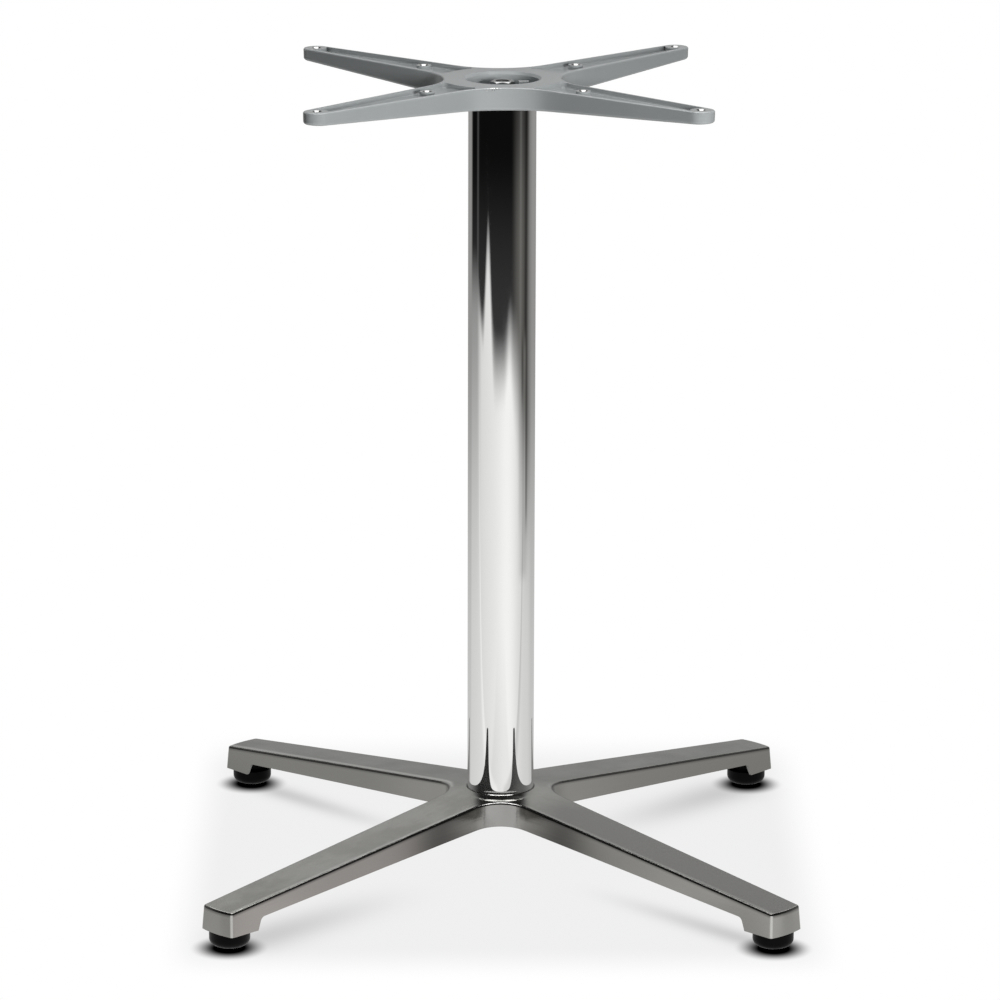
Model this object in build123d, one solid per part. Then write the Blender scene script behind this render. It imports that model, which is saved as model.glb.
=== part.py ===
from build123d import *
import os
from math import acos, atan2, cos, hypot, radians, sin, tan

# Aluminium table base: a cast four-legged star foot, a round column and a cast top spider,
# pulled together by one tie rod, standing on four screw-in levelling glides.
# Millimetres. The origin is on the floor under the column axis, +Z up, front of the base at -Y.

# Overall
HEIGHT = 720.0              # floor to the top face of the spider
LEGS = {"back_right": 45.0, "back_left": 135.0, "front_left": 225.0, "front_right": 315.0}
SPIDER_TURN = 1.76          # degrees that the spider sits turned against the star

# Column tube
COLUMN_DIA = 60.0
COLUMN_WALL = 2.5
COLUMN_FIT = 0.15           # radial room round the tube in its socket
SPIGOT_FIT = 0.2            # radial room round the spider's spigot in the tube

# Star foot, outer form
BASE_REACH = 351.0          # column axis to the middle of a leg's end face, at skirt level
LEG_ROOT_WIDTH = 57.8       # between a leg's sides carried in to the column axis, at skirt level
LEG_TIP_WIDTH = 39.8        # between a leg's sides at its end, at skirt level
LEG_DRAFT = 4.0             # degrees that the sides lean in, going up
END_BULGE = 2.5             # how far a leg's end face bows out
TIP_CORNER = 3.2            # round on the upright corners at a leg's end
WEB_RADIUS = 29.0           # concave round between two legs, at skirt level
TOP_EDGE_RADIUS = 2.0
TOP_HUB_Z = 73.1            # sloping top face carried in to the column axis
TOP_TIP_Z = 34.6            # top face at the end of a leg
UNDER_HUB_Z = 50.0          # underside of the legs carried in to the column axis
UNDER_TIP_Z = 21.6          # underside of the legs carried out to their end
SKIRT_Z = 13.5              # lower edge of the skirt round each glide
SKIRT_LENGTH = 32.0         # skirt, along the leg, at its lower edge
SKIRT_LEAN = 4.6            # how far the skirt's inner edge leans towards the end, going down
SKIRT_FILLET = 5.5          # concave round where the skirt meets the leg's underside

# Star foot, hub and pockets
SOCKET_DEPTH = 14.0         # how deep the column stands in the hub
SOCKET_CHAMFER = 1.0
HUB_FLOOR = 6.4             # metal under the column
NUT_WELL_DIA = 44.0         # spot face under the hub for the tie rod's washer
LEG_WALL = 3.0
LEG_ROOF = 4.5              # metal over a leg's pocket
POCKET_START = 52.0         # column axis to the inner end of a leg's pocket
POCKET_CORNER = 3.0
RIB_THICKNESS = 4.0
RIB_LIFT = 5.0              # rib's lower edge above the leg's underside

# Levelling glides
GLIDE_INSET = 17.5          # leg's end to the glide's axis
GLIDE_DIA = 35.8
GLIDE_HEIGHT = 13.0         # wide part of the foot
GLIDE_EDGE = 6.5            # round at the foot's lower edge
NECK_RISE = 6.8             # foot's neck above its wide part
NECK_ROOM = 5.2             # between the neck and the side walls of the leg
NECK_EDGE = 1.0
NECK_GAP = 0.3              # between the neck and the boss when screwed home
STUD_DIA = 8.0
STUD_FIT = 0.04             # radial room round the stud
STUD_SEAT = 5.0             # foot's sole to the bottom of the stud's seat
STUD_END_ROOM = 0.3         # room at each end of the stud
STUD_CHAMFER = 1.0
BOSS_WALL = 5.0             # metal round the stud's hole
HOLE_ROOF = 2.2             # metal left above the stud's hole

# Spider
HOLE_CIRCLE_OUTER = 460.5   # circle through the four holes at the arm tips
HOLE_CIRCLE_INNER = 191.2   # circle through the four holes beside the hub
SCREW_HOLE_DIA = 6.0
COUNTERSINK_DIA = 9.0
ARM_TIP_RADIUS = 12.0
ARM_ROOT_WIDTH = 49.0       # between an arm's sides carried in to the column axis
ARM_WEB_RADIUS = 56.0       # concave round between two arms
ARM_DRAFT = 1.5             # degrees that the sides lean in, going down
SPIDER_HUB_DEPTH = 20.6
SPIDER_TIP_DEPTH = 10.6
SPIDER_FLAT_DIA = 84.0      # flat part of the underside, on the column
SPIDER_UNDER_RADIUS = 2.5
SPIDER_TOP_RADIUS = 1.6
ARM_RIM = 3.4               # rim on each side of an arm's channel
CHANNEL_DEPTH = 4.6
CHANNEL_CORNER = 4.0        # round on a channel's two corners at the hub
CHANNEL_FILLET = 2.5        # concave round where a channel's floor meets its walls
MID_BOSS_DIA = 13.0
TIP_BOSS_LAP = 0.7          # tip boss past the channel's rounded end, which it fills
RECESS_DIA = 68.6           # mouth of the recess in the hub
HUB_RING = 21.2             # flat ring between the recess and the channels
RECESS_LIP = 1.8            # width of the flared lip round the recess
RECESS_LIP_DEPTH = 2.3
RECESS_FLOOR = 5.6          # metal under the recess
SPIGOT_HEIGHT = 8.0
SPIGOT_WALL = 5.0
LUG_GAP = 2.2               # between the washer and the lug in the recess
LUG_LENGTH = 9.0
LUG_WIDTH = 6.0
LUG_HEIGHT = 12.1

# Tie rod, nuts and washers
ROD_DIA = 12.0
ROD_ROOM = 0.5              # radial room round the rod in the castings
ROD_CHAMFER = 1.2
ROD_SHORT = 0.8             # rod's end inside each nut's outer face
NUT_FLATS = 19.0
NUT_HEIGHT = 10.0
NUT_FIT = 0.03              # radial room between a nut or washer and the rod
WASHER_DIA = 24.0
WASHER_THICKNESS = 2.5

# Worked out from the sizes above
column_r = COLUMN_DIA / 2
socket_r = column_r + COLUMN_FIT
rod_hole_r = ROD_DIA / 2 + ROD_ROOM
stud_hole_r = STUD_DIA / 2 + STUD_FIT
nut_hole_r = ROD_DIA / 2 + NUT_FIT
glide_r = BASE_REACH - GLIDE_INSET
arm_hole_r = HOLE_CIRCLE_OUTER / 2
mid_hole_r = HOLE_CIRCLE_INNER / 2
neck_top = GLIDE_HEIGHT + NECK_RISE
boss_z = neck_top + NECK_GAP
column_top = HEIGHT - SPIDER_HUB_DEPTH
recess_z = column_top + RECESS_FLOOR
cut_past = 1.0              # how far a cutting body reaches past the face that it cuts


def top_of_leg(r):
    """Height of the star's sloping top face at a distance from the column axis."""
    return TOP_HUB_Z + (TOP_TIP_Z - TOP_HUB_Z) * r / BASE_REACH


def under_leg(r):
    """Height of the legs' underside at a distance from the column axis."""
    return UNDER_HUB_Z + (UNDER_TIP_Z - UNDER_HUB_Z) * r / BASE_REACH


def under_arm(r):
    """Height of the spider's underside at a distance from the column axis."""
    flat_r = SPIDER_FLAT_DIA / 2
    tip_r = arm_hole_r + ARM_TIP_RADIUS
    rise = SPIDER_HUB_DEPTH - SPIDER_TIP_DEPTH
    return column_top + rise * max(r - flat_r, 0) / (tip_r - flat_r)


def leg_half_width(u):
    """Half the outer width of a leg at skirt level."""
    return (LEG_ROOT_WIDTH + (LEG_TIP_WIDTH - LEG_ROOT_WIDTH) * u / BASE_REACH) / 2


mouth_z = top_of_leg(socket_r)
socket_z = mouth_z - SOCKET_DEPTH
well_z = socket_z - HUB_FLOOR
stud_hole_z = top_of_leg(glide_r) - HOLE_ROOF
neck_r = leg_half_width(glide_r) - LEG_WALL - NECK_ROOM


def nearest(sketch, point):
    """Corner of a flat outline that lies closest to a point."""
    return sketch.vertices().sort_by_distance(point)[0]


def turned(sketch):
    """Solid turned about the column axis from an outline drawn as (radius, height)."""
    return revolve(Plane.XZ * sketch, Axis.Z)


def cylinder(radius, bottom, top):
    """Upright cylinder on the column axis between two heights."""
    return Pos(0, 0, (bottom + top) / 2) * Cylinder(radius, top - bottom)


def around(angle, solid):
    """The solid turned about the column axis."""
    return Rot(0, 0, angle) * solid


def tapered_plan(half_root, half_tip, start, end, bulge):
    """Outline of a tapering bar along +X with a bowed outer end."""
    corner = end - bulge
    sides = Polyline((corner, half_tip), (start, half_root), (start, -half_root), (corner, -half_tip))
    bow = ThreePointArc((corner, -half_tip), (end, 0), (corner, half_tip))
    return make_face(sides + bow)


def star_outline():
    """The whole star in plan at skirt level, with its webs rounded."""
    leg = tapered_plan(LEG_ROOT_WIDTH / 2, LEG_TIP_WIDTH / 2, 0, BASE_REACH, END_BULGE)
    star = Sketch() + [around(angle, leg) for angle in LEGS.values()]
    webs = star.vertices().filter_by(lambda v: hypot(v.X, v.Y) < BASE_REACH / 2)
    return fillet(webs, WEB_RADIUS)


def star_envelope():
    """Everything between the star's top and its underside: crown, slope, skirt and notch."""
    beyond = BASE_REACH * 1.1
    crown = socket_r / 2
    skirt = BASE_REACH - SKIRT_LENGTH
    notch = skirt - SKIRT_LEAN
    section = Polyline(
        (0, top_of_leg(crown)),
        (crown, top_of_leg(crown)),
        (beyond, top_of_leg(beyond)),
        (beyond, SKIRT_Z),
        (skirt, SKIRT_Z),
        (notch, under_leg(notch)),
        (0, under_leg(0)),
        close=True,
    )
    section = make_face(section)
    section = fillet(nearest(section, (notch, under_leg(notch))), SKIRT_FILLET)
    return turned(section)


def leg_pocket():
    """Hollow under one leg along +X, less its rib and the boss for the glide's stud."""
    end = BASE_REACH - LEG_WALL
    half_root = leg_half_width(POCKET_START) - LEG_WALL
    half_tip = leg_half_width(end) - LEG_WALL
    plan = tapered_plan(half_root, half_tip, POCKET_START, end, END_BULGE)
    plan = fillet(plan.vertices(), POCKET_CORNER)
    pocket = extrude(Pos(0, 0, SKIRT_Z) * plan, TOP_HUB_Z - SKIRT_Z, taper=LEG_DRAFT)
    pocket += extrude(Pos(0, 0, SKIRT_Z) * plan, -cut_past)
    roof = Polyline(
        (0, 0),
        (BASE_REACH, 0),
        (BASE_REACH, top_of_leg(BASE_REACH) - LEG_ROOF),
        (0, top_of_leg(0) - LEG_ROOF),
        close=True,
    )
    pocket &= turned(make_face(roof))
    rib = Polyline(
        (0, under_leg(0) + RIB_LIFT),
        (glide_r, under_leg(glide_r) + RIB_LIFT),
        (glide_r, TOP_HUB_Z),
        (0, TOP_HUB_Z),
        close=True,
    )
    pocket -= extrude(Plane.XZ * make_face(rib), RIB_THICKNESS / 2, both=True)
    boss = cylinder(stud_hole_r + BOSS_WALL, boss_z, TOP_HUB_Z)
    return pocket - Pos(glide_r, 0, 0) * boss


def base_star():
    """Cast star foot: four drafted legs, hollow underneath, with a socket for the column."""
    plan = Pos(0, 0, SKIRT_Z) * star_outline()
    star = extrude(plan, TOP_HUB_Z - SKIRT_Z, taper=LEG_DRAFT) & star_envelope()
    upright = star.edges().filter_by(
        lambda e: abs((e % 0.5).Z) > 0.9 and hypot((e @ 0.5).X, (e @ 0.5).Y) > glide_r
    )
    star = fillet(upright, TIP_CORNER)
    top = star.faces().filter_by(lambda f: f.normal_at().Z > 0.9).sort_by(SortBy.AREA)[-1]
    star = fillet(top.outer_wire().edges(), TOP_EDGE_RADIUS)
    pocket = leg_pocket()
    stud_hole = Pos(glide_r, 0, 0) * cylinder(stud_hole_r, boss_z - cut_past, stud_hole_z)
    for angle in LEGS.values():
        star -= around(angle, pocket)
        star -= around(angle, stud_hole)
    star -= cylinder(socket_r, socket_z, TOP_HUB_Z)
    star -= cylinder(rod_hole_r, 0, TOP_HUB_Z)
    star -= cylinder(NUT_WELL_DIA / 2, 0, well_z)
    mouth = star.edges().filter_by(GeomType.CIRCLE).group_by(Axis.Z)[-1]
    return chamfer(mouth.sort_by(SortBy.RADIUS)[0], SOCKET_CHAMFER)


def column_tube():
    """Round tube from its seat in the star up to the spider."""
    return cylinder(column_r, socket_z, column_top) - cylinder(
        column_r - COLUMN_WALL, socket_z - cut_past, column_top + cut_past
    )


def arm_plan():
    """Outline of one tapering arm along +X, round at the tip."""
    root = ARM_ROOT_WIDTH / 2
    lean = acos(ARM_TIP_RADIUS / hypot(root, arm_hole_r)) - atan2(arm_hole_r, root)
    touch = (arm_hole_r + ARM_TIP_RADIUS * sin(lean), ARM_TIP_RADIUS * cos(lean))
    sides = Polyline(touch, (0, root), (0, -root), (touch[0], -touch[1]))
    tip = ThreePointArc((touch[0], -touch[1]), (arm_hole_r + ARM_TIP_RADIUS, 0), touch)
    return make_face(sides + tip)


def spider_outline():
    """The whole spider in plan, with its webs rounded."""
    arm = arm_plan()
    plan = Sketch() + [around(angle, arm) for angle in LEGS.values()]
    webs = plan.vertices().filter_by(lambda v: hypot(v.X, v.Y) < arm_hole_r / 2)
    return fillet(webs, ARM_WEB_RADIUS)


def above_underside():
    """Everything above the spider's underside: flat on the column, then rising to the arm tips."""
    flat_r = SPIDER_FLAT_DIA / 2
    tip_r = arm_hole_r + ARM_TIP_RADIUS
    beyond = tip_r * 1.1
    section = Polyline(
        (0, column_top),
        (flat_r, column_top),
        (beyond, under_arm(beyond)),
        (beyond, HEIGHT + cut_past),
        (0, HEIGHT + cut_past),
        close=True,
    )
    return turned(make_face(section))


def screw_hole(radius):
    """Countersunk hole down through the spider at a distance from the column axis."""
    hole = cylinder(SCREW_HOLE_DIA / 2, column_top - cut_past, HEIGHT + cut_past)
    depth = (COUNTERSINK_DIA - SCREW_HOLE_DIA) / 2
    sink = Pos(0, 0, HEIGHT - depth / 2) * Cone(SCREW_HOLE_DIA / 2, COUNTERSINK_DIA / 2, depth)
    return Pos(radius, 0, 0) * (hole + sink)


def arm_channels():
    """Shallow channels in the tops of all four arms, round their screw bosses."""
    hub_r = RECESS_DIA / 2 + HUB_RING
    plan = offset(spider_outline(), -ARM_RIM) - Circle(hub_r)
    corners = plan.vertices().filter_by(lambda v: hypot(v.X, v.Y) < hub_r + CHANNEL_CORNER / 2)
    plan = fillet(corners, CHANNEL_CORNER)
    tip_boss_r = ARM_TIP_RADIUS - ARM_RIM + TIP_BOSS_LAP
    for angle in LEGS.values():
        plan -= around(angle, Pos(mid_hole_r, 0) * Circle(MID_BOSS_DIA / 2))
        plan -= around(angle, Pos(arm_hole_r, 0) * Circle(tip_boss_r))
    channels = extrude(Pos(0, 0, HEIGHT - CHANNEL_DEPTH) * plan, CHANNEL_DEPTH + cut_past)
    return fillet(channels.edges().group_by(Axis.Z)[0], CHANNEL_FILLET)


def top_spider():
    """Cast top spider: four channelled arms, a recessed hub and a spigot for the column."""
    plan = Pos(0, 0, HEIGHT) * spider_outline()
    spider = extrude(plan, -SPIDER_HUB_DEPTH, taper=ARM_DRAFT) & above_underside()
    under = spider.faces().filter_by(lambda f: f.normal_at().Z < -0.9).sort_by(SortBy.AREA)[-1]
    spider = fillet(under.outer_wire().edges(), SPIDER_UNDER_RADIUS)
    top = spider.faces().sort_by(Axis.Z)[-1]
    spider = fillet(top.outer_wire().edges(), SPIDER_TOP_RADIUS)
    spider -= arm_channels()
    for angle in LEGS.values():
        spider -= around(angle, screw_hole(mid_hole_r))
        spider -= around(angle, screw_hole(arm_hole_r))
    recess_r = RECESS_DIA / 2 - RECESS_LIP
    spider -= cylinder(recess_r, recess_z, HEIGHT + cut_past)
    lip = Cone(recess_r, RECESS_DIA / 2, RECESS_LIP_DEPTH)
    spider -= Pos(0, 0, HEIGHT - RECESS_LIP_DEPTH / 2) * lip
    spigot_r = column_r - COLUMN_WALL - SPIGOT_FIT
    spigot = cylinder(spigot_r, column_top - SPIGOT_HEIGHT, column_top)
    spider += spigot - cylinder(spigot_r - SPIGOT_WALL, 0, HEIGHT)
    lug_x = WASHER_DIA / 2 + LUG_GAP + LUG_LENGTH / 2
    lug = Pos(lug_x, 0, recess_z + LUG_HEIGHT / 2) * Box(LUG_LENGTH, LUG_WIDTH, LUG_HEIGHT)
    spider += lug
    spider -= cylinder(rod_hole_r, column_top - cut_past, recess_z + cut_past)
    return around(SPIDER_TURN, spider)


def washer(bottom):
    """Plain washer on the tie rod."""
    ring = cylinder(WASHER_DIA / 2, bottom, bottom + WASHER_THICKNESS)
    return ring - cylinder(nut_hole_r, bottom - cut_past, bottom + WASHER_THICKNESS + cut_past)


def nut(bottom):
    """Hexagon nut on the tie rod, its corners turned off at both ends."""
    top = bottom + NUT_HEIGHT
    corner_r = NUT_FLATS / 2 / cos(radians(30))
    face_r = NUT_FLATS / 2 * 0.97
    lower = (corner_r - face_r) * tan(radians(30))
    hexagon = RegularPolygon(NUT_FLATS / 2, 6, major_radius=False)
    body = extrude(Pos(0, 0, bottom) * hexagon, NUT_HEIGHT)
    trim = Polyline(
        (nut_hole_r, bottom),
        (face_r, bottom),
        (corner_r, bottom + lower),
        (corner_r, top - lower),
        (face_r, top),
        (nut_hole_r, top),
        close=True,
    )
    return body & turned(make_face(trim))


def tie_rod():
    """Threaded rod through the column, from under the star to inside the spider's recess."""
    bottom = well_z - WASHER_THICKNESS - NUT_HEIGHT + ROD_SHORT
    top = recess_z + WASHER_THICKNESS + NUT_HEIGHT - ROD_SHORT
    rod = cylinder(ROD_DIA / 2, bottom, top)
    return chamfer(rod.edges().filter_by(GeomType.CIRCLE), ROD_CHAMFER)


def glide_foot():
    """Moulded foot of a levelling glide, drawn on its own axis."""
    foot = cylinder(GLIDE_DIA / 2, 0, GLIDE_HEIGHT)
    foot = fillet(foot.edges().group_by(Axis.Z)[0], GLIDE_EDGE)
    foot += cylinder(neck_r, GLIDE_HEIGHT, neck_top)
    foot = chamfer(foot.edges().group_by(Axis.Z)[-1], NECK_EDGE)
    return foot - cylinder(stud_hole_r, STUD_SEAT, neck_top + cut_past)


def glide_stud():
    """Threaded stud of a levelling glide, drawn on its own axis."""
    stud = cylinder(STUD_DIA / 2, STUD_SEAT + STUD_END_ROOM, stud_hole_z - STUD_END_ROOM)
    return chamfer(stud.edges().group_by(Axis.Z)[-1], STUD_CHAMFER)


nodes = {
    "base_star": base_star(),
    "column_tube": column_tube(),
    "top_spider": top_spider(),
    "tie_rod": tie_rod(),
    "top_washer": washer(recess_z),
    "top_nut": nut(recess_z + WASHER_THICKNESS),
    "bottom_washer": washer(well_z - WASHER_THICKNESS),
    "bottom_nut": nut(well_z - WASHER_THICKNESS - NUT_HEIGHT),
}
for place, angle in LEGS.items():
    nodes["glide_foot_" + place] = around(angle, Pos(glide_r, 0, 0) * glide_foot())
    nodes["glide_stud_" + place] = around(angle, Pos(glide_r, 0, 0) * glide_stud())

os.makedirs("parts", exist_ok=True)
for name, solid in nodes.items():
    export_step(solid, f"parts/{name}.step")
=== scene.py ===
from math import cos, pi, radians, sin, sqrt

import bmesh
import bpy
from mathutils import Matrix, Vector


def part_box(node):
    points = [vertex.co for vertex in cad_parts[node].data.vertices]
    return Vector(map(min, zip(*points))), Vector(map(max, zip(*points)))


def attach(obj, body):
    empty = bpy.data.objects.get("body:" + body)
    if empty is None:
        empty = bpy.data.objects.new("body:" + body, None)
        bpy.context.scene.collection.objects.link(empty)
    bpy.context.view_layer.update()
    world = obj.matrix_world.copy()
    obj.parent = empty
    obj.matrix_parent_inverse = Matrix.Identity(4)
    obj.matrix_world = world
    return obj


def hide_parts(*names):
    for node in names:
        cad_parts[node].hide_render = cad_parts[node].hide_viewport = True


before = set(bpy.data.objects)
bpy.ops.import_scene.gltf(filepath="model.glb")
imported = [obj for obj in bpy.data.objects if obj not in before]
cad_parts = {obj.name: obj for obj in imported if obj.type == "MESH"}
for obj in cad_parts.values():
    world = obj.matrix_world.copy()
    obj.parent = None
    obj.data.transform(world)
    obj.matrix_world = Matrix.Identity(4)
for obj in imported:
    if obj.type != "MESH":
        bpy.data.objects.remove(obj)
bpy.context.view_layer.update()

# Sizes and places on the base, in metres and radians: x to the right, y to the back, z up from the floor
DIAGONAL = sqrt(0.5)        # legs and arms lie along the diagonals
GLIDE_RADIUS = 0.3335       # glides from the column axis
LEG_TOP_HEIGHT = 0.0731     # legs' top, carried in to the column axis
LEG_TOP_FALL = 0.1097       # how much the top falls along a leg
SKIRT_HEIGHT = 0.0135       # lower edge of the skirts, where the legs' widths are taken
LEG_LEAN = 0.0699           # how much a leg's sides lean in, going up
LEG_TAPER = 0.0256          # how much a leg's half width shrinks along it
LEG_CORNERS = 0.30          # where the upright corners of a leg's end begin
WEB_RADIUS = 0.029          # round between two legs
WEB_CENTRE = 0.0565         # middle of that round, along both legs
BEAD_RADIUS = 0.0395        # bead on the star where the column goes in
SPIDER_TURN = radians(1.76)  # how far the spider is turned against the star
SPIDER_TOP = 0.72
ARM_TIP_UNDERSIDE = 0.709
TIP_HOLE_RADIUS = 0.23025   # screw holes at the arms' tips, from the column axis
MID_HOLE_RADIUS = 0.0956    # screw holes beside the hub, from the column axis
COUNTERSINK_RADIUS = 0.0045
TUBE_WALL = 0.0025
TUBE_EDGE = 0.0004          # bevel on the column's ends
TUBE_STEPS = 288            # flats round the column
SHARP_CORNER = radians(20)  # a steeper corner isn't shaded smooth
ROD_PITCH = 0.00175
STUD_PITCH = 0.00125

# Spans over which a finish changes
PAST_AXIS = (0, 0.02)       # from one side of the column axis to the other
OFF_HUB = (0.02, 0.1)       # from the hub out to the legs
TURNED = (0.2, 0.6)         # from a face that looks to the front or back to one turned aside


class Wire:
    """A value on its way through a finish's nodes. Arithmetic on it adds Math nodes."""

    def __init__(self, sheet, socket):
        self.sheet = sheet
        self.socket = socket

    def out(self, name):
        """Another output of the node that this value comes from."""
        return Wire(self.sheet, self.socket.node.outputs[name])

    def __add__(self, other):
        return self.sheet.maths("ADD", self, other)

    def __radd__(self, other):
        return self.sheet.maths("ADD", other, self)

    def __sub__(self, other):
        return self.sheet.maths("SUBTRACT", self, other)

    def __rsub__(self, other):
        return self.sheet.maths("SUBTRACT", other, self)

    def __mul__(self, other):
        return self.sheet.maths("MULTIPLY", self, other)

    def __rmul__(self, other):
        return self.sheet.maths("MULTIPLY", other, self)

    def __truediv__(self, other):
        return self.sheet.maths("DIVIDE", self, other)

    def __rtruediv__(self, other):
        return self.sheet.maths("DIVIDE", other, self)

    def __pow__(self, other):
        return self.sheet.maths("POWER", self, other)

    def __neg__(self):
        return self.sheet.maths("SUBTRACT", 0, self)

    def __abs__(self):
        return self.sheet.maths("ABSOLUTE", self)

    def sign(self):
        return self.sheet.maths("SIGN", self)

    def at_least(self, other):
        return self.sheet.maths("MAXIMUM", self, other)

    def at_most(self, other):
        return self.sheet.maths("MINIMUM", self, other)

    def rise(self, low, high):
        """Smooth step from 0 at low to 1 at high."""
        settings = {"interpolation_type": "SMOOTHSTEP"}
        return self.sheet.add("MapRange", settings, {"Value": self, "From Min": low, "From Max": high})

    def hump(self, middle, width):
        """Bell curve, 1 at the middle and about a third at one width from it."""
        offset = (self - middle) / width
        return self.sheet.maths("EXPONENT", -(offset * offset))


class Sheet:
    """The nodes of one finish."""

    def __init__(self, tree):
        self.tree = tree
        tree.nodes.clear()

    def add(self, kind, settings=None, inputs=None, output=0):
        """One node: its settings first, then its sockets' values or links."""
        node = self.tree.nodes.new("ShaderNode" + kind)
        for name, value in (settings or {}).items():
            setattr(node, name, value)
        for name, value in (inputs or {}).items():
            if isinstance(value, Wire):
                self.tree.links.new(value.socket, node.inputs[name])
            else:
                node.inputs[name].default_value = value
        return Wire(self, node.outputs[output]) if node.outputs else None

    def maths(self, operation, *values):
        return self.add("Math", {"operation": operation}, dict(enumerate(values)))

    def place(self, coordinates="Object"):
        """Position on the base, or direction in the room, as x, y and z."""
        spot = self.add("TexCoord", output=coordinates)
        split = self.add("SeparateXYZ", inputs={"Vector": spot})
        return split, split.out("Y"), split.out("Z")

    def facing(self):
        """Direction that the surface faces, as x, y and z."""
        direction = self.add("NewGeometry", output="Normal")
        split = self.add("SeparateXYZ", inputs={"Vector": direction})
        return split, split.out("Y"), split.out("Z")

    def noise(self, x, y, z, detail=2.0, roughness=0.5):
        spot = self.add("CombineXYZ", inputs={"X": x, "Y": y, "Z": z})
        values = {"Vector": spot, "Scale": 1.0, "Detail": detail, "Roughness": roughness}
        return self.add("TexNoise", inputs=values)

    def tint(self, amount, first, second):
        """Colour between two colours."""
        settings = {"data_type": "RGBA", "clamp_factor": True}
        return self.add("Mix", settings, {0: amount, 6: first, 7: second}, output=2)

    def bump(self, height, strength, distance, under=None):
        """Relief: the height times a distance in metres, on top of another relief if there is one."""
        inputs = {"Height": height, "Strength": strength, "Distance": distance}
        if under:
            inputs["Normal"] = under
        return self.add("Bump", inputs=inputs)

    def metal(self, **sockets):
        """Principled surface, with its sockets named as words joined by _."""
        inputs = {name.replace("_", " "): value for name, value in sockets.items()}
        return self.add("BsdfPrincipled", inputs=inputs)

    def surface(self, shader):
        self.add("OutputMaterial", inputs={"Surface": shader})


def new_finish(name):
    finish = bpy.data.materials.new(name)
    finish.use_nodes = True
    return finish, Sheet(finish.node_tree)


def rgb(red, green, blue):
    return (red, green, blue, 1.0)


BLACK = rgb(0, 0, 0)
WHITE = rgb(1, 1, 1)
PALE_SILVER = rgb(0.46, 0.48, 0.485)


def length(a, b):
    """Distance whose two parts lie at right angles."""
    return (a * a + b * b) ** 0.5


def along_diagonal(x, y):
    """How far out along its leg or arm a place lies."""
    return (abs(x) + abs(y)) * DIAGONAL


def across_diagonal(x, y):
    """How far to the side of its leg's or arm's middle a place lies, positive towards the x axis."""
    return (abs(x) - abs(y)) * DIAGONAL


def star_web(x, y):
    """Web between the star's two front legs."""
    return (1 - abs(x).rise(0.010, 0.024)) * (-y).rise(*PAST_AXIS)


def star_painted_shading(s, ground, x, y, face_x, face_z):
    """Painted light and shade on the star: its sides lighter or darker leg by leg, painted light on the front
    web and painted shade on the right one, the shade by the hub, and painted shade on one leg's top.
    """
    left, right, front, back = [way.rise(*OFF_HUB) for way in (-x, x, -y, y)]
    to_left, to_right = [way.rise(*TURNED) for way in (-face_x, face_x)]
    painted_right_web_shade = x.rise(0.01, 0.03) * (1 - abs(y).rise(0.012, 0.03))
    shade = along_diagonal(x, y).hump(0.10, 0.035) * abs(x).rise(0.012, 0.03) * (-y).rise(*PAST_AXIS)
    upright = 1 - face_z.rise(0.35, 0.75)
    # painted light and shade: each side face lighter or darker by where it faces, the right web and the sides
    # by the hub darkened
    tones = (
        (0.85, rgb(0.338, 0.332, 0.315)),
        (star_web(x, y), rgb(0.41, 0.405, 0.395)),
        (left * front * to_right, rgb(0.37, 0.347, 0.332)),
        (left * front * to_left, rgb(0.265, 0.262, 0.25)),
        (left * back, rgb(0.29, 0.287, 0.273)),
        (right * front * to_right, rgb(0.39, 0.385, 0.368)),
        (right * back, rgb(0.308, 0.301, 0.284)),
        (painted_right_web_shade * 0.2, BLACK),
        (shade * 0.66, rgb(0.02, 0.019, 0.018)),
    )
    for part, tone in tones:
        ground = s.tint(part * upright, ground, tone)
    # painted shade: the front right leg's top is darker
    painted_top_shade = x.rise(0.015, 0.06) * (-y).rise(0.015, 0.06) * face_z.rise(0.6, 0.9)
    return s.tint(painted_top_shade, ground, rgb(0.285, 0.281, 0.268))


def from_leg_side(along, forward, z):
    """How far a place lies in from the front side of its leg, which runs on into the web's round."""
    short = (WEB_CENTRE - along).at_least(0)
    past = (along - WEB_CENTRE).at_least(0)
    lean = (z - SKIRT_HEIGHT) * LEG_LEAN
    return length(short, WEB_CENTRE - forward) - WEB_RADIUS - lean - past * LEG_TAPER


def star_painted_edge_lines(s, ground, x, y, z, face_z):
    """Painted lines on the legs' upper edges: a painted highlight on the top, painted shade below it, a
    painted highlight on the front web.
    """
    along = along_diagonal(x, y)
    forward = across_diagonal(x, y) * y.sign()  # across a leg, to its front side
    at_back, at_right = [way.rise(*PAST_AXIS) for way in (y, x)]
    inset = from_leg_side(along, forward, z) * (1 - 0.3 * at_back)
    # painted highlight: a light line on the top beside the front edge
    painted_top_highlight = inset.hump(0.003, 0.0016) * face_z.rise(0.9, 0.97) * (1 - at_back * at_right)
    light = s.tint(at_back, rgb(0.66, 0.655, 0.63), rgb(0.95, 0.94, 0.91))
    ground = s.tint(painted_top_highlight * (0.8 - 0.45 * at_right), ground, light)
    web = star_web(x, y)
    below_top = LEG_TOP_HEIGHT - along * LEG_TOP_FALL - z
    # painted shade: a dark line just below the top edges
    edge = (1 - below_top.rise(0.0015, 0.0045)) * (1 - face_z.rise(0.75, 0.93)) * (1 - web)
    ground = s.tint(edge * 0.6, ground, rgb(0.05, 0.049, 0.047))
    # painted highlight along the front web's top edge
    painted_web_highlight = web * face_z.rise(0.3, 0.6) * (1 - face_z.rise(0.95, 0.985))
    return s.tint(painted_web_highlight, ground, rgb(0.92, 0.915, 0.90))


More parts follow.
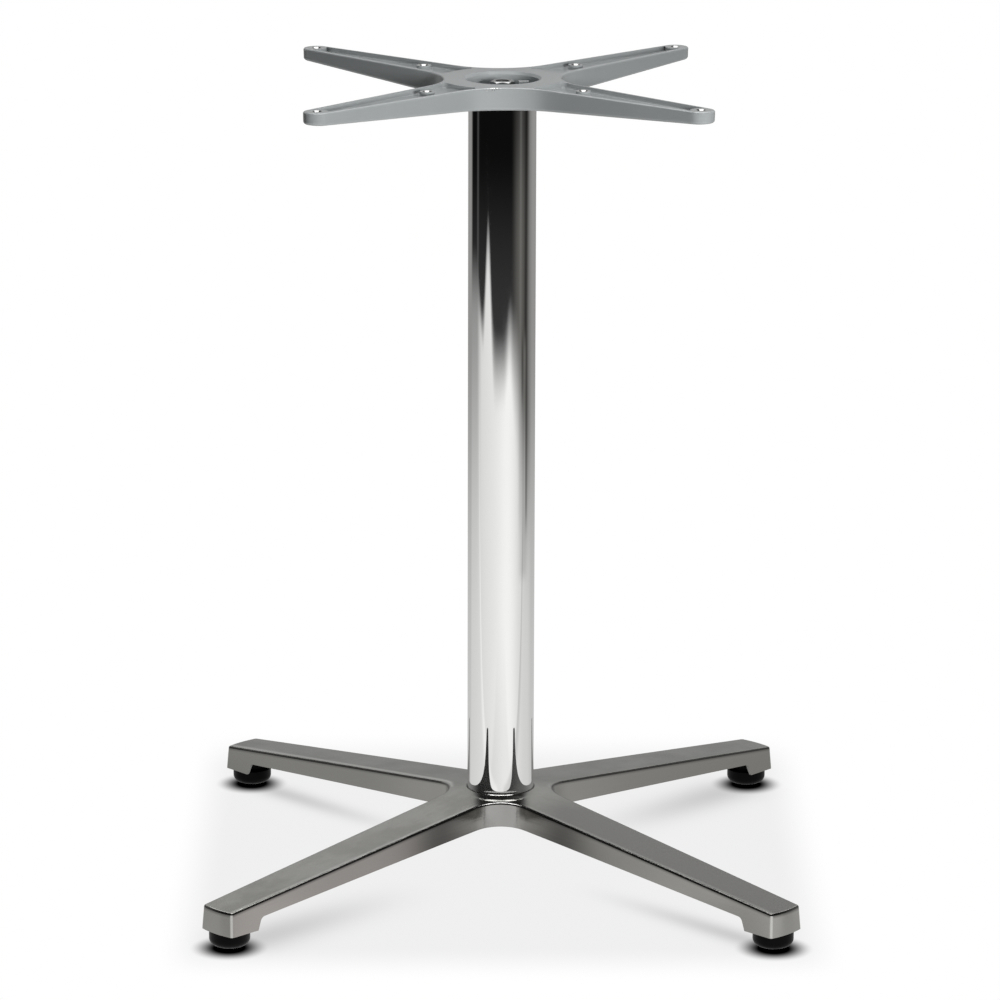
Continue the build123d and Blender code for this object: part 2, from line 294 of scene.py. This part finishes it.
def satin_casting():
    """Star foot: aluminium ground along the legs to a warm satin, left grainy as cast underneath."""
    finish, s = new_finish("satin_casting")
    x, y, z = s.place()
    face_x, face_y, face_z = s.facing()
    along = along_diagonal(x, y)
    across = across_diagonal(x, y)
    own = x.sign() * 3.1 + y.sign() * 7.7  # gives each leg marks of its own
    strokes = s.noise(along * 9 + own, across * 640, z * 640, detail=3)
    patches = s.noise(along * 22 + own, across * 34, z * 34, detail=4, roughness=0.6)
    ground = s.tint(patches.rise(0.32, 0.68), rgb(0.38, 0.377, 0.352), rgb(0.475, 0.472, 0.447))
    ground = s.tint(strokes.rise(0.5, 0.75) * 0.35, ground, rgb(0.36, 0.357, 0.335))
    ground = star_painted_shading(s, ground, x, y, face_x, face_z)
    ground = star_painted_edge_lines(s, ground, x, y, z, face_z)
    # painted highlight down the upright corners of the legs' ends
    off_diagonal = abs(face_x * face_x - face_y * face_y)
    corner = off_diagonal.rise(0.5, 1.0) * along.rise(LEG_CORNERS, LEG_CORNERS + 0.01)
    ground = s.tint(corner, ground, rgb(0.60, 0.595, 0.58))
    grain = s.noise(x * 800, y * 800, z * 800)
    cast = s.tint(grain, rgb(0.33, 0.33, 0.325), rgb(0.45, 0.45, 0.44))
    raw = (-face_z).rise(0.15, 0.6)
    bead = length(x, y).hump(BEAD_RADIUS, 0.0035) * (-y).rise(*PAST_AXIS) * (1 - abs(x).rise(0.006, 0.026))
    relief = strokes * (1 - raw) * 0.5 + grain * raw
    shader = s.metal(
        Base_Color=s.tint(raw, ground, cast),
        Metallic=1.0,
        Roughness=0.10 + strokes * 0.07 + patches * 0.07 + raw * 0.38,
        Normal=s.bump(relief, 0.16, 0.0004, under=s.bump(bead, 1.0, 0.0024)),
    )
    s.surface(shader)
    return finish


def polished_tube():
    """Column: aluminium polished to a mirror, with faint draw lines along it."""
    finish, s = new_finish("polished_tube")
    x, y, z = s.place()
    lines = s.noise(x * 900, y * 900, z * 2.5)
    haze = s.noise(x * 60, y * 60, z * 14, detail=3)
    shader = s.metal(
        Base_Color=s.tint(haze, rgb(0.93, 0.93, 0.925), rgb(0.90, 0.90, 0.90)),
        Metallic=1.0,
        Roughness=0.012 + lines * 0.03 + haze.rise(0.5, 0.8) * 0.03,
        Normal=s.bump(lines, 0.02, 0.0002),
    )
    s.surface(shader)
    return finish


def countersinks(along, across, z):
    """Countersinks of the screw holes at the arms' tips and beside the hub."""
    tip, mid = [length(along - hole, across) for hole in (TIP_HOLE_RADIUS, MID_HOLE_RADIUS)]
    bore = 1 - tip.at_most(mid).rise(COUNTERSINK_RADIUS - 0.0001, COUNTERSINK_RADIUS + 0.0002)
    return bore * z.rise(ARM_TIP_UNDERSIDE, ARM_TIP_UNDERSIDE + 0.001)


def painted_edge_glints(s, x, y, z, face_z):
    """Painted highlight specks on the hub's front edge, drawn as bright bare metal."""
    on_edge = z.rise(SPIDER_TOP - 0.0034, SPIDER_TOP - 0.0024) * (1 - face_z.rise(0.95, 0.99))
    specks = s.noise(x * 700, y * 40, z * 300).rise(0.45, 0.55)
    return on_edge * (-y).rise(0.045, 0.05) * specks * x.hump(-0.008, 0.006)


def spider_painted_shading(s, coat, x, y, along, facing):
    """Painted light and shade on the spider: painted shade on the arm walls and the far hub, painted light on
    the webs on the left and in front.
    """
    face_x, face_y, face_z = facing
    side = 1 - face_z.rise(0.3, 0.7)
    on_arm = along.rise(0.055, 0.10) * (1 - along.rise(0.225, 0.238))
    # painted shade on the arm walls, more on those facing left and on the back arms
    painted_wall_shade = 0.17 * (-face_x).rise(*TURNED) + 0.11 * face_x.rise(*TURNED) * y.rise(0, 0.05)
    coat = s.tint(side * painted_wall_shade * on_arm, coat, BLACK)
    # painted shade on the far part of the hub's top
    painted_far_hub_shade = face_z.rise(0.9, 0.98) * y.rise(0.02, 0.04) * (1 - along.rise(0.06, 0.08))
    coat = s.tint(painted_far_hub_shade * 0.09, coat, BLACK)
    # painted light on the web on the left
    painted_left_web_light = (-x).rise(0.02, 0.04) * y.rise(-0.01, 0.01) * (1 - along.rise(0.055, 0.075))
    coat = s.tint(side * painted_left_web_light * 0.3, coat, rgb(0.8, 0.82, 0.83))
    # painted light on the front web
    painted_front_web_light = (-face_y).rise(0.8, 0.97) * (1 - abs(x).rise(0.02, 0.04))
    return s.tint(side * painted_front_web_light * 0.35, coat, PALE_SILVER)


def silver_coating():
    """Spider: silver-grey coating over the casting, bare metal in the countersinks, painted shade in its
    nooks, and painted highlight specks of bright bare metal on the hub's front edge.
    """
    finish, s = new_finish("silver_coating")
    x, y, z = s.place()
    facing = s.facing()
    turned_x = x * cos(SPIDER_TURN) + y * sin(SPIDER_TURN)
    turned_y = y * cos(SPIDER_TURN) - x * sin(SPIDER_TURN)
    along = along_diagonal(turned_x, turned_y)
    across = across_diagonal(turned_x, turned_y)
    peel = s.noise(x * 420, y * 420, z * 420)
    flake = s.noise(x * 2600, y * 2600, z * 2600, detail=1)
    cloud = s.noise(x * 22, y * 22, z * 22, detail=3)
    coat = s.tint(cloud, rgb(0.335, 0.355, 0.36), rgb(0.375, 0.395, 0.40))
    coat = s.tint(flake.rise(0.45, 0.75) * 0.3, coat, PALE_SILVER)
    # painted shade: the coating is darkened in nooks and creases by ambient occlusion
    painted_nook_shade = 1 - s.add("AmbientOcclusion", {"samples": 8, "only_local": True}, {"Distance": 0.006}, output="AO")
    coat = s.tint(painted_nook_shade.rise(0.25, 0.8) * 0.8, coat, rgb(0.10, 0.105, 0.107))
    coat = spider_painted_shading(s, coat, x, y, along, facing)
    # painted highlight specks on the hub's front edge, joined to the bare countersinks
    wear_and_glints = painted_edge_glints(s, x, y, z, facing[2])
    bare = countersinks(along, across, z).at_least(wear_and_glints)
    bright = s.tint(wear_and_glints, rgb(0.62, 0.62, 0.61), rgb(0.98, 0.98, 0.97))
    shader = s.metal(
        Base_Color=s.tint(bare, coat, bright),
        Metallic=0.2 + bare * 0.8,
        Roughness=0.40 + peel * 0.08 - bare * 0.22,
        Coat_Weight=1 - bare,
        Coat_Roughness=0.2,
        Normal=s.bump(peel * (1 - bare) + flake * 0.15, 0.14, 0.0003),
    )
    s.surface(shader)
    return finish


def zinc_plate(name, pitch=None, axis_radius=0.0):
    """Plated steel. With a pitch it has a thread, round the column axis or axes out on the diagonals."""
    finish, s = new_finish(name)
    x, y, z = s.place()
    cloud = s.noise(x * 160, y * 160, z * 160, detail=3)
    height = s.noise(x * 1400, y * 1400, z * 1400) * 0.2
    if pitch:
        if axis_radius:
            hand = x.sign() * y.sign()
            angle = s.maths("ARCTAN2", across_diagonal(x, y) * hand, along_diagonal(x, y) - axis_radius)
        else:
            angle = s.maths("ARCTAN2", y, x)
        turn = z / pitch - angle / (2 * pi)
        height = height + s.maths("PINGPONG", turn, 0.5) * 2
    shader = s.metal(
        Base_Color=s.tint(cloud, rgb(0.42, 0.425, 0.43), rgb(0.52, 0.52, 0.51)),
        Metallic=1.0,
        Roughness=0.16 + cloud * 0.12,
        Normal=s.bump(height, 0.9, 0.0006) if pitch else s.bump(height, 0.12, 0.0002),
    )
    s.surface(shader)
    return finish


def black_moulding():
    """Glide feet: satin black plastic, slightly scuffed on the sole."""
    finish, s = new_finish("black_moulding")
    x, y, z = s.place()
    skin = s.noise(x * 1500, y * 1500, z * 1500)
    scuff = s.noise(x * 120, y * 120, z * 120, detail=4, roughness=0.65)
    wear_and_glints = (1 - z.rise(0.0002, 0.003)) * scuff.rise(0.45, 0.7)
    shader = s.metal(
        Base_Color=s.tint(wear_and_glints, rgb(0.0014, 0.0014, 0.0014), rgb(0.02, 0.0195, 0.019)),
        Roughness=0.33 + skin * 0.1 + wear_and_glints * 0.2,
        Normal=s.bump(skin, 0.08, 0.0002),
        Specular_IOR_Level=0.08,
    )
    s.surface(shader)
    return finish


def turned_piece(name, profile, steps):
    """Closed ring turned about the column axis from (radius, height) points, its corners kept sharp."""
    mesh = bpy.data.meshes.new(name)
    form = bmesh.new()
    rings = []
    for step in range(steps):
        angle = 2 * pi * step / steps
        rings.append([form.verts.new((r * cos(angle), r * sin(angle), z)) for r, z in profile])
    for step, ring in enumerate(rings):
        after = rings[(step + 1) % steps]
        for i in range(len(profile)):
            j = (i + 1) % len(profile)
            form.faces.new((ring[i], after[i], after[j], ring[j]))
    bmesh.ops.recalc_face_normals(form, faces=form.faces)
    for face in form.faces:
        face.smooth = True
    for edge in form.edges:
        edge.smooth = edge.calc_face_angle(0) < SHARP_CORNER
    form.to_mesh(mesh)
    form.free()
    piece = bpy.data.objects.new(name, mesh)
    bpy.context.scene.collection.objects.link(piece)
    return piece


def column_piece(finish):
    """Column drawn with a finer round than the frame's, so that its mirror runs true."""
    low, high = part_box("column_tube")
    outer = high.x
    inner = outer - TUBE_WALL
    profile = [
        (inner, low.z),
        (outer - TUBE_EDGE, low.z),
        (outer, low.z + TUBE_EDGE),
        (outer, high.z - TUBE_EDGE),
        (outer - TUBE_EDGE, high.z),
        (inner, high.z),
    ]
    column = turned_piece("column_polished", profile, TUBE_STEPS)
    column.data.materials.append(finish)
    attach(column, "frame")
    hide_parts("column_tube")


def dress_nodes():
    """Gives every frame node its finish, and draws the column again."""
    plain_zinc = zinc_plate("zinc_plate")
    stud_zinc = zinc_plate("zinc_stud_thread", STUD_PITCH, GLIDE_RADIUS)
    black = black_moulding()
    mirror = polished_tube()
    finishes = {
        "base_star": satin_casting(),
        "column_tube": mirror,
        "top_spider": silver_coating(),
        "tie_rod": zinc_plate("zinc_rod_thread", ROD_PITCH),
    }
    for name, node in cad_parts.items():
        finish = finishes.get(name, plain_zinc)
        if name.startswith("glide_foot"):
            finish = black
        if name.startswith("glide_stud"):
            finish = stud_zinc
        node.data.materials.clear()
        node.data.materials.append(finish)
    column_piece(mirror)


# Stage: a white sheet on a dark studio floor, both mirrored by the polished column
SHEET_REACH = 2.03          # front edge of the sheet from the column
LEFT_CORNER = -48           # bearing of the sheet's corner on the left, in degrees
RIGHT_BULGE = 27            # bearing of its bulge on the right, in degrees
FLOOR_SIZE = 40.0
FLOOR_DROP = 0.0003         # keeps the floor clear of the glides' soles
SHADOW_PATCH_GREY = rgb(0.868, 0.868, 0.868)
SHADOW_SHIFT = 0.010        # how far towards the camera the shadows on the floor lie
CAMERA_PLACE = (-0.0241, -4.52225, 1.50213)
CAMERA_YAW = radians(0.291)
CAMERA_PITCH = radians(14.443)
CAMERA_ROLL = radians(0.162)
SENSOR_WIDTH = 36           # in millimetres, as is the lens
LENS = 187.66


def bearing_from_front(s, x, y):
    """Bearing in degrees: 0 to the front, 90 to the right, -90 to the left."""
    return s.maths("ARCTAN2", x, -y) * (180 / pi)


def sheet_in_mirrors(s, x, y, away, bearing):
    """White sheet, shaded by the star round its hub and between its front legs."""
    level = 0.67 + 0.13 * bearing.hump(-30, 55) + 0.24 * bearing.hump(25, 38)
    level = level * (1 - 0.6 * abs(bearing).rise(70, 95) * away.rise(0.6, 2.7))
    by_hub = (1 - abs(x).rise(0.14, 0.22)) * (-y).rise(-0.02, 0.02)
    shade = 0.75 - 0.45 * (-y).rise(0.04, 0.11) - 0.2 * (-y).rise(0.10, 0.25) - 0.1 * away.rise(0.3, 0.9)
    level = level * (1 - shade * by_hub)
    by_tips = (-y).rise(0.16, 0.24) * (1 - (-y).rise(0.255, 0.285))
    level = level * (1 + by_tips * (0.18 * (-x).rise(0.02, 0.07) - 0.22 * x.rise(0.02, 0.07)))
    level = level * (1 - 0.25 * bearing.hump(80, 16) * away.rise(0.98, 1.06))
    return s.tint(level, BLACK, rgb(1.0, 0.998, 0.99))


def room_in_mirrors(s, away, bearing):
    """Dark room past the sheet, with a thin glow on the left and a dim grey part on the right."""
    glow = 0.004 + 0.035 * (1 - away.rise(2.0, 3.6)) + 0.055 * bearing.hump(-90, 4)
    room = s.tint(glow, BLACK, WHITE)
    grey = bearing.rise(30, 62) * (1 - 0.6 * away.rise(2.8, 4.0))
    room = s.tint(grey, room, rgb(0.112, 0.109, 0.102))
    return s.tint(bearing.rise(90, 112), room, rgb(0.20, 0.20, 0.195))


def lines_in_mirrors(s, front, away, bearing):
    """Pale and dark strips on the right, which draw upright lines on the upper part of the column."""
    strips = away.rise(1.15, 1.35)
    far = away.rise(2.1, 2.3)
    pale = bearing.hump(66, 5) * 0.22
    front = s.tint(pale * strips, front, rgb(0.3, 0.3, 0.29))
    near_dark = bearing.hump(75, 3.5) * 0.4 * away.rise(1.75, 1.95) + bearing.hump(94, 5) * 0.5
    dark = near_dark * (1 - far) + bearing.hump(89, 9) * 0.7 * far
    front = s.tint(dark * strips, front, BLACK)
    glint = bearing.hump(84.5, 4) * (0.1 + 0.7 * (1 - away.rise(1.3, 1.9))) * (1 - far)
    return s.tint(glint * strips, front, rgb(0.45, 0.45, 0.44))


def floor_in_mirrors(s, x, y):
    """What the metal sees of the floor: the sheet, past its edges the dark room, and grey behind."""
    away = length(x, y)
    bearing = bearing_from_front(s, x, y)
    reach = SHEET_REACH + 0.82 * bearing.hump(LEFT_CORNER, 13) + 0.2 * bearing.hump(RIGHT_BULGE, 12)
    reach = reach + 0.55 * (1 - bearing.rise(-100, -50)) - 0.63 * bearing.rise(40, 100)
    blur = 0.26 - 0.12 * bearing.hump(-75, 14) + 0.25 * bearing.rise(20, 60)
    past_sheet = ((away - reach) / blur).rise(-1, 1)
    sheet = sheet_in_mirrors(s, x, y, away, bearing)
    front = s.tint(past_sheet, sheet, room_in_mirrors(s, away, bearing))
    front = lines_in_mirrors(s, front, away, bearing)
    back = s.tint(away.rise(0.45, 2.3), rgb(0.58, 0.58, 0.575), rgb(0.30, 0.297, 0.29))
    behind = bearing.rise(100, 130) + (-bearing).rise(117, 131)
    return s.tint(behind, front, back)


def floor_shadow(x, y):
    """Soft shadows under the glides and along the legs: 1 where there is none."""
    shifted = y + SHADOW_SHIFT
    along = along_diagonal(x, shifted)
    across = across_diagonal(x, shifted)
    spread = 0.023 + 0.007 * (x * shifted).sign()
    leg = across.hump(0, spread) * along.rise(0.08, 0.30) * (1 - along.rise(0.30, 0.36))
    return length(along - GLIDE_RADIUS, across).rise(0.013, 0.0355) * (1 - 0.3 * leg)


def floor_finish():
    """Floor: white to the camera with the base's soft shadow, and in mirrors a sheet in a dark room."""
    finish, s = new_finish("stage_floor")
    x, y, _ = s.place()
    # painted shadow: a grey patch on the floor round the base
    patch = (1 - abs(x).rise(0.25, 0.30)) * y.rise(-0.33, -0.24) * (1 - y.rise(0.26, 0.40))
    shade = s.tint(floor_shadow(x, y), BLACK, s.tint(patch, WHITE, SHADOW_PATCH_GREY))
    seen = s.add("Emission", inputs={"Color": shade})
    lit = s.add("BsdfDiffuse", inputs={"Color": rgb(0.3, 0.3, 0.3)})
    mirror = s.add("Emission", inputs={"Color": floor_in_mirrors(s, x, y)})
    rays = s.add("LightPath", output="Is Camera Ray")
    mirrored = rays.out("Is Glossy Ray").at_least(rays.out("Is Transmission Ray"))
    white = s.add("MixShader", inputs={0: rays, 1: lit, 2: seen})
    s.surface(s.add("MixShader", inputs={0: mirrored, 1: white, 2: mirror}))
    return finish


def stage_floor():
    """Floor under the base, far wider than the camera sees."""
    mesh = bpy.data.meshes.new("stage_floor")
    half = FLOOR_SIZE / 2
    corners = [(-half, -half, 0), (half, -half, 0), (half, half, 0), (-half, half, 0)]
    mesh.from_pydata(corners, [], [(0, 1, 2, 3)])
    mesh.materials.append(floor_finish())
    floor = bpy.data.objects.new("stage_floor", mesh)
    floor.location.z = -FLOOR_DROP
    bpy.context.scene.collection.objects.link(floor)


def stage_room():
    """Room round the base: white to the camera, in the metal pale behind and dark in front and above."""
    world = bpy.data.worlds.new("stage_room")
    bpy.context.scene.world = world
    world.use_nodes = True
    s = Sheet(world.node_tree)
    x, y, z = s.place("Generated")
    bearing = bearing_from_front(s, x, y)
    right = bearing.hump(80, 38) * (1 - z.rise(0.05, 0.3))
    low = abs(bearing).rise(75, 135) * (1 - z.rise(0.50, 0.58))
    strip = abs(bearing).rise(138, 158) * z.rise(0.58, 0.62) * (1 - z.rise(0.70, 0.74))
    level = 0.015 + low * (0.155 + 0.1 * z.rise(0.1, 0.45)) + strip * 0.9 + right * 0.1
    studio = s.tint(level, BLACK, rgb(2.0, 2.0, 2.0))
    rays = s.add("LightPath", output="Is Camera Ray")
    colour = s.tint(rays, studio, WHITE)
    background = s.add("Background", inputs={"Color": colour, "Strength": 1.0})
    s.add("OutputWorld", inputs={"Surface": background})


def stage_lamp(name, place, aim, size, watts, mirrored):
    """Soft square lamp. A lamp that isn't mirrored lights the base without showing in its metal."""
    lamp = bpy.data.lights.new(name, "AREA")
    lamp.shape = "SQUARE"
    lamp.size = size
    lamp.energy = watts
    holder = bpy.data.objects.new(name, lamp)
    holder.location = place
    holder.rotation_euler = (Vector(aim) - Vector(place)).to_track_quat("-Z", "Y").to_euler()
    holder.visible_glossy = mirrored
    holder.visible_camera = False
    bpy.context.scene.collection.objects.link(holder)


def stage_camera():
    """Camera where the photograph was taken from."""
    yaw, pitch, roll = CAMERA_YAW, CAMERA_PITCH, CAMERA_ROLL
    ahead = Vector((sin(yaw) * cos(pitch), cos(yaw) * cos(pitch), -sin(pitch)))
    right = Vector((cos(yaw), -sin(yaw), 0))
    up = right.cross(ahead)
    side = cos(roll) * right + sin(roll) * up
    top = cos(roll) * up - sin(roll) * right
    lens = bpy.data.cameras.new("camera")
    lens.sensor_width = SENSOR_WIDTH
    lens.lens = LENS
    lens.clip_end = 100
    camera = bpy.data.objects.new("camera", lens)
    turn = Matrix((side, top, -ahead)).transposed().to_4x4()
    camera.matrix_world = Matrix.Translation(CAMERA_PLACE) @ turn
    bpy.context.scene.collection.objects.link(camera)
    bpy.context.scene.camera = camera


dress_nodes()
stage_floor()
stage_room()
stage_lamp("lamp_over", place=(0.0, 0.3, 2.4), aim=(0, 0.1, 0.3), size=1.8, watts=24, mirrored=True)
stage_lamp("lamp_right", place=(0.64, -1.58, 0.95), aim=(0, 0, 0.7), size=0.3, watts=31, mirrored=False)
stage_camera()
bpy.context.scene.view_settings.view_transform = "Standard"
